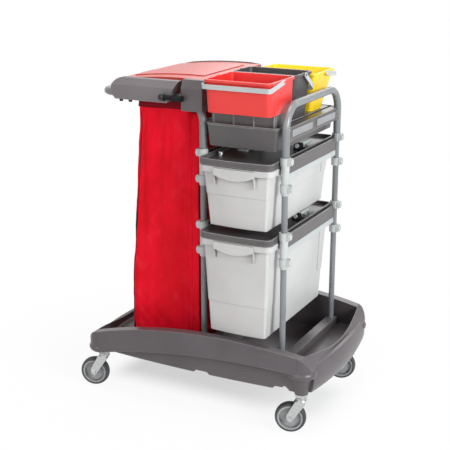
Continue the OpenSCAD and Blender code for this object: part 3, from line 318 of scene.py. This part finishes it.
def coatedWeave(name, look):  # woven red cloth with a coated face
    f = Finish(name)
    turn = 2.0 * math.pi / weave["thread"]
    across = (f.axis("X") + f.axis("Y")) * turn
    down = f.axis("Z") * turn
    over = across.wave() * down.wave()
    drift = f.clouds(weave["drift"], 4.0)
    crease = sum(f.clouds(weave["crease"], 4.0, f.slanted(turned, weave["long"])) for turned in weave["slant"]) * 0.5
    skin = f.mix(drift.above(0.32, 0.68), tone(*look["deep"]), tone(*look["bright"]))
    # painted sheen on the crease crests; a faint lighter weave pattern on the thread tops
    skin = f.mix(crease.above(0.52, 0.66) * 0.35 + over.above(0.2, 1.0) * 0.08, skin, tone(*look["rub"]))
    rough = look["rough"] + (crease - 0.5) * 0.2 + over * 0.04
    folds = f.bump(crease, weave["folds"])
    return f.done({"Base Color": skin, "Roughness": rough, "Normal": f.bump(over, weave["deep"], folds),
                   "Specular IOR Level": weave["gloss"]})


finishes = {name: mouldedPlastic(name, look) for name, look in plastics.items()}
finishes["tube"] = paintedTube("tube", paint)
finishes["zinc"] = zincPlate("zinc", plate)
finishes["tyre"] = greyRubber("tyre", rubber)
finishes["bag_fabric"] = coatedWeave("bag_fabric", cloth)
finishes["bag_cuff_shade"] = coatedWeave("bag_cuff_shade", cuffShadeCloth)


def wear(piece, finish):  # one finish all over
    piece.data.materials.clear()
    piece.data.materials.append(finishes[finish])


batches = {  # nodes given another copy of their slot's plastic: the clamp housings lighter as painted light, the base darker as painted shade, the covers, top tray and stand with painted highlights on their edges, the label plates a grey of their own
    "base_shaded_plastic": ("base_tray",),
    "cover_plastic": ("upper_cover", "lower_cover", "top_tray", "bucket_stand"),
    "housing_lit_plastic": ("front_bag_clamp", "rear_bag_clamp"),
    "plate_plastic": ("label_plates",),
}
for part in frame["record"]["subparts"]:
    wear(nodes[part["node"]], part["material_slot"])
for finish, members in batches.items():
    for member in members:
        wear(nodes[member], finish)
print("finishes made:", len(finishes))


# floor and backdrop

ground = {"size": 14.0, "near": 0.55, "far": 1.3, "white": 0.88, "ambient": 0.30, "veil": 0.58, "skirt": 0.92,
          "shadeX": (0.34, 0.45), "shadeY": (0.05, 0.20)}


def seenDirectly(f):  # 1 for what the camera, a mirror or glass looks at
    rays = [f.node("ShaderNodeLightPath", out=kind) for kind in
            ("Is Camera Ray", "Is Glossy Ray", "Is Transmission Ray")]
    return (rays[0] + rays[1] + rays[2]).above(0.0, 1.0)


def paleFloor(look):  # takes the shadow near the cart and runs out to white
    f = Finish("pale_floor")
    away = f.node("ShaderNodeVectorMath", {"operation": "LENGTH"}, {0: f.place}, out="Value")
    white = look["white"]
    skin = f.mix(f.clouds(40.0), (white, white, white, 1.0), (white - 0.01, white - 0.01, white - 0.01, 1.0))
    lit = f.node("ShaderNodeBsdfDiffuse", {}, {"Color": skin})
    plain = f.node("ShaderNodeEmission", {}, {"Color": (1.0, 1.0, 1.0, 1.0), "Strength": 1.0})
    besideX, besideY = f.axis("X").size().above(*look["shadeX"]), f.axis("Y").size().above(*look["shadeY"])
    clear = 1.0 - (1.0 - besideX) * (1.0 - besideY)
    share = look["veil"] + clear * (look["skirt"] - look["veil"])
    share = (share + away.above(look["near"], look["far"]) * (1.0 - look["skirt"])) * seenDirectly(f)
    both = f.node("ShaderNodeMixShader", {}, {0: share, 1: lit, 2: plain})
    f.node("ShaderNodeOutputMaterial", {}, {"Surface": both})
    return f.material


def whiteRoom(look):
    world = bpy.data.worlds.new("white_room")
    world.use_nodes = True
    f = Finish("white_room", world.node_tree)
    glow = f.node("ShaderNodeBackground", {}, {"Color": (1.0, 1.0, 1.0, 1.0), "Strength": look["ambient"]})
    plain = f.node("ShaderNodeBackground", {}, {"Color": (1.0, 1.0, 1.0, 1.0), "Strength": 1.0})
    both = f.node("ShaderNodeMixShader", {}, {0: seenDirectly(f), 1: glow, 2: plain})
    f.node("ShaderNodeOutputWorld", {}, {"Surface": both})
    return world


def addMesh(name, points, faces, smooth=True):
    mesh = bpy.data.meshes.new(name)
    mesh.from_pydata(points, [], faces)
    mesh.validate()
    for face in mesh.polygons:
        face.use_smooth = smooth
    piece = bpy.data.objects.new(name, mesh)
    scene.collection.objects.link(piece)
    return piece


reach = ground["size"] / 2.0
floor = addMesh("floor", [(-reach, -reach, 0), (reach, -reach, 0), (reach, reach, 0), (-reach, reach, 0)],
                [(0, 1, 2, 3)])
floor.data.materials.append(paleFloor(ground))
scene.world = whiteRoom(ground)
print("floor and white room made")


# the waste bag: a hung shell that sags on its foot

bag = {"radius": 0.020, "thick": 0.0009, "lean": 0.055, "columns": 180, "rows": 132, "rings": 8, "midRow": 60,
       "mouth": 0.004, "sole": 0.003, "under": 0.002, "hang": 0.12, "stand": 0.06,
       "bulge": 0.019, "bulgeAt": 0.66, "bulgeTall": 0.33, "bulgeMost": 0.013,
       "wrinkle": 0.0055, "pleats": ((0.030, 0.0028), (0.198, 0.0022)), "pleatWide": 0.0045}
bagLow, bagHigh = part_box("waste_bag")
mouthZ, soleZ = bagHigh.z - bag["mouth"], bagLow.z + bag["sole"]


def ringPath(x0, x1, y0, y1, radius, count):  # a rounded outline, evenly stepped, from the front left corner
    marks = []
    for cx, cy, start in ((x0 + radius, y0 + radius, 180), (x1 - radius, y0 + radius, 270),
                          (x1 - radius, y1 - radius, 0), (x0 + radius, y1 - radius, 90)):
        for step in range(9):
            angle = math.radians(start + 11.25 * step)
            marks.append(Vector((cx + radius * math.cos(angle), cy + radius * math.sin(angle))))
    marks.append(marks[0])
    lengths = [0.0]
    for first, second in zip(marks, marks[1:]):
        lengths.append(lengths[-1] + (second - first).length)
    path, at = [], 0
    for column in range(count):
        want = lengths[-1] * column / count
        while lengths[at + 1] < want:
            at += 1
        share = (want - lengths[at]) / (lengths[at + 1] - lengths[at])
        path.append(marks[at].lerp(marks[at + 1], share))
    return path


def bell(value, middle, width):
    return math.exp(-((value - middle) / width) ** 2)


def bagOutline(drop, grow=0.0):  # drop is 0 at the mouth and 1 at the foot
    left = bagLow.x + bag["lean"] * (1.0 - drop) - bag["bulge"] * bell(drop, bag["bulgeAt"], bag["bulgeTall"])
    left = max(left, bagLow.x - bag["bulgeMost"])
    return ringPath(left - grow, bagHigh.x + grow, bagLow.y - grow, bagHigh.y + grow, bag["radius"], bag["columns"])


def bagDrop(height):  # how far down the bag a height is
    return (mouthZ - height) / (bagHigh.z - bagLow.z)


def bagRow(height):  # the row of the cloth at a height
    return (mouthZ - height) / (mouthZ - soleZ) * (bag["rows"] - 1)


def ringFaces(rows, columns):
    faces = []
    for row in range(rows - 1):
        for column in range(columns):
            after = (column + 1) % columns
            faces.append((row * columns + column, (row + 1) * columns + column,
                          (row + 1) * columns + after, row * columns + after))
    return faces


def bagShell():
    columns, rows, rings = bag["columns"], bag["rows"], bag["rings"]
    middle = Vector(((bagLow.x + bagHigh.x) / 2.0, 0.0))
    points = []
    for row in range(rows):
        drop = row / (rows - 1)
        height = mouthZ + (soleZ - mouthZ) * drop
        free = min(1.0, drop / bag["hang"]) * min(1.0, (1.0 - drop) / bag["stand"])
        outline = bagOutline(drop)
        for spot in outline:
            lean = noise.noise((spot.x * 11.0 + height * 4.0, spot.y * 9.0, height * 6.0 - spot.x * 5.0))
            fine = noise.noise((spot.x * 26.0 - height * 14.0, spot.y * 24.0, height * 17.0))
            out = (spot - middle).normalized() * (lean + 0.5 * fine - 0.4) * bag["wrinkle"] * free
            if spot.y < bagLow.y + 0.002:  # pleats in the front
                fromLeft = spot.x - outline[0].x + 0.004 * lean
                out.y += sum(deep * bell(fromLeft, at, bag["pleatWide"]) for at, deep in bag["pleats"]) * free
            points.append((spot.x + out.x, spot.y + out.y, height))
    for ring in range(1, rings):
        for spot in bagOutline(1.0):
            near = spot.lerp(middle, ring / rings)
            points.append((near.x, near.y, bagLow.z + bag["under"]))
    faces = ringFaces(rows + rings - 1, columns)
    last = len(points)
    points.append((middle.x, middle.y, bagLow.z + bag["under"]))
    start = last - columns
    faces += [(start + column, last, start + (column + 1) % columns) for column in range(columns)]
    return addMesh("waste_bag_cloth", points, faces)


sag = {"slack": -0.025, "frames": 24, "most": 0.011, "heldTop": 9, "heldFoot": 2, "grip": 0.6, "ease": 0.06,
       "cloth": {"quality": 6, "mass": 0.25, "tension_stiffness": 25.0, "compression_stiffness": 8.0,
                 "shear_stiffness": 10.0, "bending_stiffness": 1.6}}


def letSag(piece):  # cloth with spare length, held at the mouth and on the floor
    columns, lastFree = bag["columns"], bag["rows"] - sag["heldFoot"]
    rest = [vertex.co.copy() for vertex in piece.data.vertices]
    held = piece.vertex_groups.new(name="held")
    for index in range(len(rest)):
        row = index // columns
        weight = max(0.0, sag["grip"] - sag["ease"] * (row - sag["heldTop"]))
        if row < sag["heldTop"] or row >= lastFree:
            weight = 1.0
        if weight > 0.0:
            held.add([index], weight, "REPLACE")
    drape = piece.modifiers.new("drape", "CLOTH")
    for key, value in sag["cloth"].items():
        setattr(drape.settings, key, value)
    drape.settings.vertex_group_mass = "held"
    drape.settings.shrink_min = sag["slack"]
    drape.collision_settings.use_collision = False
    drape.point_cache.frame_start, drape.point_cache.frame_end = 1, sag["frames"]
    for number in range(1, sag["frames"] + 1):
        scene.frame_set(number)
    shape = piece.evaluated_get(bpy.context.evaluated_depsgraph_get())
    moved = [vertex.co.copy() for vertex in shape.data.vertices]
    piece.modifiers.remove(drape)
    scene.frame_set(1)
    for vertex, old, new in zip(piece.data.vertices, rest, moved):
        step = new - old
        if step.length > sag["most"]:
            step *= sag["most"] / step.length
        vertex.co = old + step


def bagOut(spot):  # away from the bag's upright middle
    out = Vector((spot.x - (bagLow.x + bagHigh.x) / 2.0, spot.y, 0.0))
    half = Vector(((bagHigh.x - bagLow.x) / 2.0, (bagHigh.y - bagLow.y) / 2.0))
    return Vector((out.x / half.x, out.y / half.y, 0.0)).normalized()


creases = {"deep": 0.0042, "sink": 0.10, "slants": (0.85, -0.60), "long": 4.0, "tight": 27.0,
           "top": 9, "foot": 4, "fadeTop": 14.0, "fadeFoot": 8.0, "fadeSeam": 5.0}


def creaseCloth(piece):  # soft slanting creases pressed into the hung cloth
    columns, rows = bag["columns"], bag["rows"]
    pitch = 2.0 * (bagHigh.x - bagLow.x + bagHigh.y - bagLow.y) / columns
    for index in range(columns * rows):
        row, column = divmod(index, columns)
        vertex = piece.data.vertices[index]
        free = min(1.0, max(0.0, (row - creases["top"]) / creases["fadeTop"]))
        free *= min(1.0, max(0.0, (rows - creases["foot"] - row) / creases["fadeFoot"]))
        free *= min(1.0, min(column, columns - column) / creases["fadeSeam"])
        along, up, push = pitch * column, vertex.co.z, 0.0
        for number, slant in enumerate(creases["slants"]):
            run = along * math.cos(slant) + up * math.sin(slant)
            side = up * math.cos(slant) - along * math.sin(slant)
            fold = noise.noise((run * creases["long"], side * creases["tight"], 5.0 + 9.0 * number))
            where = noise.noise((along * 6.0, up * 5.0, 31.0 + 7.0 * number))
            push -= (abs(fold) + creases["sink"]) * min(1.0, max(0.0, 0.5 + 1.6 * where))
        vertex.co += bagOut(vertex.co) * push * creases["deep"] * free


def dress(piece, body, slot, finish=None):
    wear(piece, finish or slot)
    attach(piece, body)
    return piece


wasteBag = bagShell()
letSag(wasteBag)
creaseCloth(wasteBag)
layer = wasteBag.modifiers.new("layer", "SOLIDIFY")
layer.thickness, layer.offset = bag["thick"], -1.0
dress(wasteBag, "cart", "bag_fabric")
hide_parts("waste_bag")
print("bag hung:", len(wasteBag.data.vertices), "points")


cuff = {"low": 1.0245, "high": 1.0515, "proud": 0.0030}


def bagCuff():  # the mouth turned over outside, just under the clamps
    columns = bag["columns"]
    profile = [(cuff["low"], 0.0002), (cuff["low"] - 0.0012, cuff["proud"] * 0.6), (cuff["low"], cuff["proud"]),
               (cuff["low"] + 0.009, cuff["proud"] * 0.8), (cuff["high"] - 0.008, cuff["proud"] * 0.7),
               (cuff["high"], 0.0004)]
    points = []
    for height, grow in profile:
        for spot in bagOutline(bagDrop(height), grow):
            sway = 0.0012 * noise.noise((spot.x * 20.0, spot.y * 20.0, 3.0))
            points.append((spot.x, spot.y, height + (sway if height < cuff["high"] - 0.01 else 0.0)))
    piece = addMesh("waste_bag_cuff", points, ringFaces(len(profile), columns))
    piece.data.flip_normals()
    return piece


# the cuff in the darker red: painted shade under the clamp housings
bagCuffShaded = dress(bagCuff(), "cart", "bag_fabric", "bag_cuff_shade")


shadowRing = {"height": 1.0205, "radius": 0.0024, "sides": 8, "proud": 0.001, "rise": 0.024}


def bagCuffShadowLine():  # a dark ring round the mouth under the cuff: a painted shadow line under the cuff's lower edge
    drop, points = bagDrop(shadowRing["height"]), []
    for side in range(shadowRing["sides"] + 1):
        angle = 2.0 * math.pi * side / shadowRing["sides"]
        height = shadowRing["height"] + shadowRing["radius"] * math.sin(angle)
        for spot in bagOutline(drop, shadowRing["proud"] + shadowRing["radius"] * math.cos(angle)):
            points.append((spot.x, spot.y, height + shadowRing["rise"] * (spot.x - bagLow.x)))
    return addMesh("waste_bag_cuff_shadow_line", points, ringFaces(shadowRing["sides"] + 1, bag["columns"]))


cuffShadowLine = dress(bagCuffShadowLine(), "cart", "bag_fabric", "bag_cuff_shade")
print("cuff turned over and drawn in")


def bagSpot(column, row):  # a point on the sagged cloth
    columns = bag["columns"]
    low, share = int(math.floor(column)), column - math.floor(column)
    under, part = int(math.floor(row)), row - math.floor(row)

    def corner(c, r):
        return wasteBag.data.vertices[min(r, bag["rows"] - 1) * columns + c % columns].co
    first = corner(low, under).lerp(corner(low + 1, under), share)
    second = corner(low, under + 1).lerp(corner(low + 1, under + 1), share)
    return first.lerp(second, part)


def nearColumn(x, y):  # the column that hangs nearest to a spot of the plan
    spots = [wasteBag.data.vertices[bag["midRow"] * bag["columns"] + column].co for column in range(bag["columns"])]
    return min(range(bag["columns"]), key=lambda c: (spots[c].x - x) ** 2 + (spots[c].y - y) ** 2)


seams = {"radius": 0.0016, "proud": 0.0006, "top": 8, "sides": 6}


def bagPiping():  # down three corners; the zip is in the fourth
    points, faces = [], []
    for x, y in ((bagLow.x, bagHigh.y), (bagHigh.x, bagLow.y), (bagHigh.x, bagHigh.y)):
        column, start = nearColumn(x, y), len(points)
        rows = range(seams["top"], bag["rows"] - 1)
        for row in rows:
            spot = bagSpot(column, row)
            out = bagOut(spot)
            along = Vector((-out.y, out.x, 0.0))
            for side in range(seams["sides"]):
                angle = 2.0 * math.pi * side / seams["sides"]
                points.append(spot + out * (seams["proud"] + seams["radius"] * math.cos(angle))
                              + along * seams["radius"] * math.sin(angle))
        faces += [tuple(start + index for index in face) for face in ringFaces(len(rows), seams["sides"])]
        faces += [tuple(range(start, start + seams["sides"])),
                  tuple(reversed(range(len(points) - seams["sides"], len(points))))]
    return addMesh("waste_bag_piping", points, faces)


piping = dress(bagPiping(), "cart", "bag_fabric")
print("piping sewn on:", len(piping.data.vertices), "points")


flap = {"wide": 0.045, "thick": 0.0010, "low": 0.205, "high": 1.012, "steps": 90, "proud": 0.0012, "sway": 0.0022,
        "seam": 0.0205, "groove": 0.0018, "grooveWide": 0.0012,
        "across": (0.0, 0.3, 0.40, 0.43, 0.456, 0.482, 0.51, 0.62, 0.76, 0.9, 1.0)}


def bagFlap():  # the front and back cloth run on past the seams of the right side
    points, faces = [], []
    for side in (-1, 1):
        start, count = len(points), len(flap["across"])
        column = nearColumn(bagHigh.x - bag["radius"], side * bagHigh.y)
        hinge = bagSpot(column, bag["midRow"]).x
        for step in range(flap["steps"] + 1):
            height = flap["high"] + (flap["low"] - flap["high"]) * step / flap["steps"]
            root = bagSpot(column, bagRow(height))
            line = []
            for share in flap["across"]:
                past = share * flap["wide"]
                sway = flap["sway"] * share * noise.noise((past * 30.0, height * 7.0, side * 2.0))
                dip = flap["groove"] * bell(past, flap["seam"], flap["grooveWide"])
                line.append((hinge + past, root.y + side * (flap["proud"] + sway - dip), height))
            points += [(x, y + side * flap["thick"] / 2.0, z) for x, y, z in line]
            points += [(x, y - side * flap["thick"] / 2.0, z) for x, y, z in reversed(line)]
        ring = ringFaces(flap["steps"] + 1, 2 * count)
        ring += [(i, i + 1, 2 * count - 2 - i, 2 * count - 1 - i) for i in range(count - 1)]
        foot = flap["steps"] * 2 * count
        ring += [(foot + i + 1, foot + i, foot + 2 * count - 1 - i, foot + 2 * count - 2 - i)
                 for i in range(count - 1)]
        faces += [tuple(start + index for index in (face if side < 0 else reversed(face))) for face in ring]
    return addMesh("waste_bag_flap", points, faces)


edging = dress(bagFlap(), "cart", "bag_fabric")
print("flaps sewn on:", len(edging.data.vertices), "points")


edgeStrip = {"column": 4.5, "spread": 0.16, "proud": 0.0016, "high": 1.006, "low": 0.196, "steps": 160, "across": 7,
           "gaps": ((0.635, 0.048, 0.62), (0.250, 0.012, 0.5))}


def bagZipAndEdgeShade():  # a black strip down the front left corner: along its whole length a painted shade line where the corner turns away from the light, and at two heights the wider black gapes of a zip
    points, faces, wide = [], [], edgeStrip["across"]
    for step in range(edgeStrip["steps"] + 1):
        height = edgeStrip["high"] + (edgeStrip["low"] - edgeStrip["high"]) * step / edgeStrip["steps"]
        row = bagRow(height)
        width = edgeStrip["spread"] + sum(gape * bell(height, at, tall) for at, tall, gape in edgeStrip["gaps"])
        for across in range(wide):
            turn = 2.0 * across / (wide - 1) - 1.0
            spot = bagSpot(edgeStrip["column"] + width * turn, row)
            points.append(spot + bagOut(spot) * edgeStrip["proud"] * (1.2 - turn * turn))
    for step in range(edgeStrip["steps"]):
        for across in range(wide - 1):
            first = step * wide + across
            faces.append((first, first + wide, first + wide + 1, first + 1))
    return addMesh("waste_bag_zip_and_edge_shade", points, faces)


zipAndEdgeShade = dress(bagZipAndEdgeShade(), "cart", "black_plastic")
print("zip laid on")


# small fittings on the lid and the covers

lidTrim = {"from": -0.286, "to": 0.010, "at": 0.234, "wide": 0.008, "high": 0.0036, "steps": 48,
           "side": ((-0.5, -0.4), (-0.5, 0.5), (-0.3, 0.9), (0.0, 1.0), (0.3, 0.9), (0.5, 0.5), (0.5, -0.4))}


def lidRearTrim():  # a dark bead along the vault's rear edge
    lid, profile, points = nodes["bag_lid"], lidTrim["side"], []
    for step in range(lidTrim["steps"] + 1):
        x = lidTrim["from"] + (lidTrim["to"] - lidTrim["from"]) * step / lidTrim["steps"]
        top = lid.ray_cast(Vector((x, lidTrim["at"], 1.4)), Vector((0.0, 0.0, -1.0)))[1].z
        ends = min(1.0, 8.0 * min(step, lidTrim["steps"] - step) / lidTrim["steps"] + 0.2)
        for along, up in profile:
            points.append((x, lidTrim["at"] + along * lidTrim["wide"], top + up * lidTrim["high"] * ends))
    ends = [tuple(range(len(profile))), tuple(reversed(range(len(points) - len(profile), len(points))))]
    return addMesh("bag_lid_trim", points, ringFaces(lidTrim["steps"] + 1, len(profile)) + ends)


dress(lidRearTrim(), "lid", "dark_plastic")
print("trim set on the lid")


def lathe(name, profile, place, steps=40):  # profile of (radius, height) about Z
    points = []
    for radius, height in profile:
        for step in range(steps):
            angle = 2.0 * math.pi * step / steps
            spot = Vector((radius * math.cos(angle), radius * math.sin(angle), height))
            points.append(spot + Vector(place))
    faces = ringFaces(len(profile), steps)
    return addMesh(name, points, [tuple(reversed(face)) for face in faces])


def slab(name, profile, width, place, bevel):  # a Y-Z profile carried along X, with rounded edges
    half, count = width / 2.0, len(profile)
    points = [(place[0] + x, place[1] + y, place[2] + z) for x in (-half, half) for y, z in profile]
    faces = [tuple(reversed(range(count))), tuple(range(count, 2 * count))]
    faces += [(i, (i + 1) % count, count + (i + 1) % count, count + i) for i in range(count)]
    piece = addMesh(name, points, faces, smooth=False)
    rounding = piece.modifiers.new("rounding", "BEVEL")
    rounding.width, rounding.segments = bevel, 3
    rounding.limit_method = "ANGLE"
    return piece


covers = {"panelDrop": 0.012}


def coverPanel(cover):  # a cover's middle, and the height of its panel
    low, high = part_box(cover)
    return (low.x + high.x) / 2.0, high.z - covers["panelDrop"]


catches = {"apart": 0.088, "at": 0.014, "wide": 0.026, "round": 0.0016,
           "side": ((-0.016, 0.0), (0.030, 0.0), (0.030, 0.004), (0.013, 0.005), (0.012, 0.018), (0.008, 0.0225),
                    (-0.006, 0.0225), (-0.010, 0.018), (-0.011, 0.006), (-0.016, 0.004))}
for cover in ("upper_cover", "lower_cover"):
    middle, panel = coverPanel(cover)
    for side, end in ((-1, "_left_catch"), (1, "_right_catch")):
        place = (middle + side * catches["apart"], catches["at"], panel)
        dress(slab(cover + end, catches["side"], catches["wide"], place, catches["round"]), "cart", "black_plastic")

middle, panel = coverPanel("upper_cover")
lock = {"at": (-0.105, -0.168),
        "side": ((0.0085, 0.0), (0.0085, 0.008), (0.0078, 0.0105), (0.0064, 0.0115), (0.0060, 0.0108),
                 (0.0030, 0.0108), (0.0026, 0.0090), (0.0001, 0.0090))}
dress(lathe("cover_lock", lock["side"], (middle + lock["at"][0], lock["at"][1], panel)), "cart", "zinc")

slide = {"at": (-0.063, -0.089), "wide": 0.034, "round": 0.0008,
         "side": ((-0.005, 0.0), (0.005, 0.0), (0.0045, 0.005), (0.0025, 0.0065), (-0.0025, 0.0065),
                  (-0.0045, 0.005))}
place = (middle + slide["at"][0], slide["at"][1], panel)
dress(slab("cover_slide", slide["side"], slide["wide"], place, slide["round"]), "cart", "clamp_plastic")
print("fittings set on the covers")
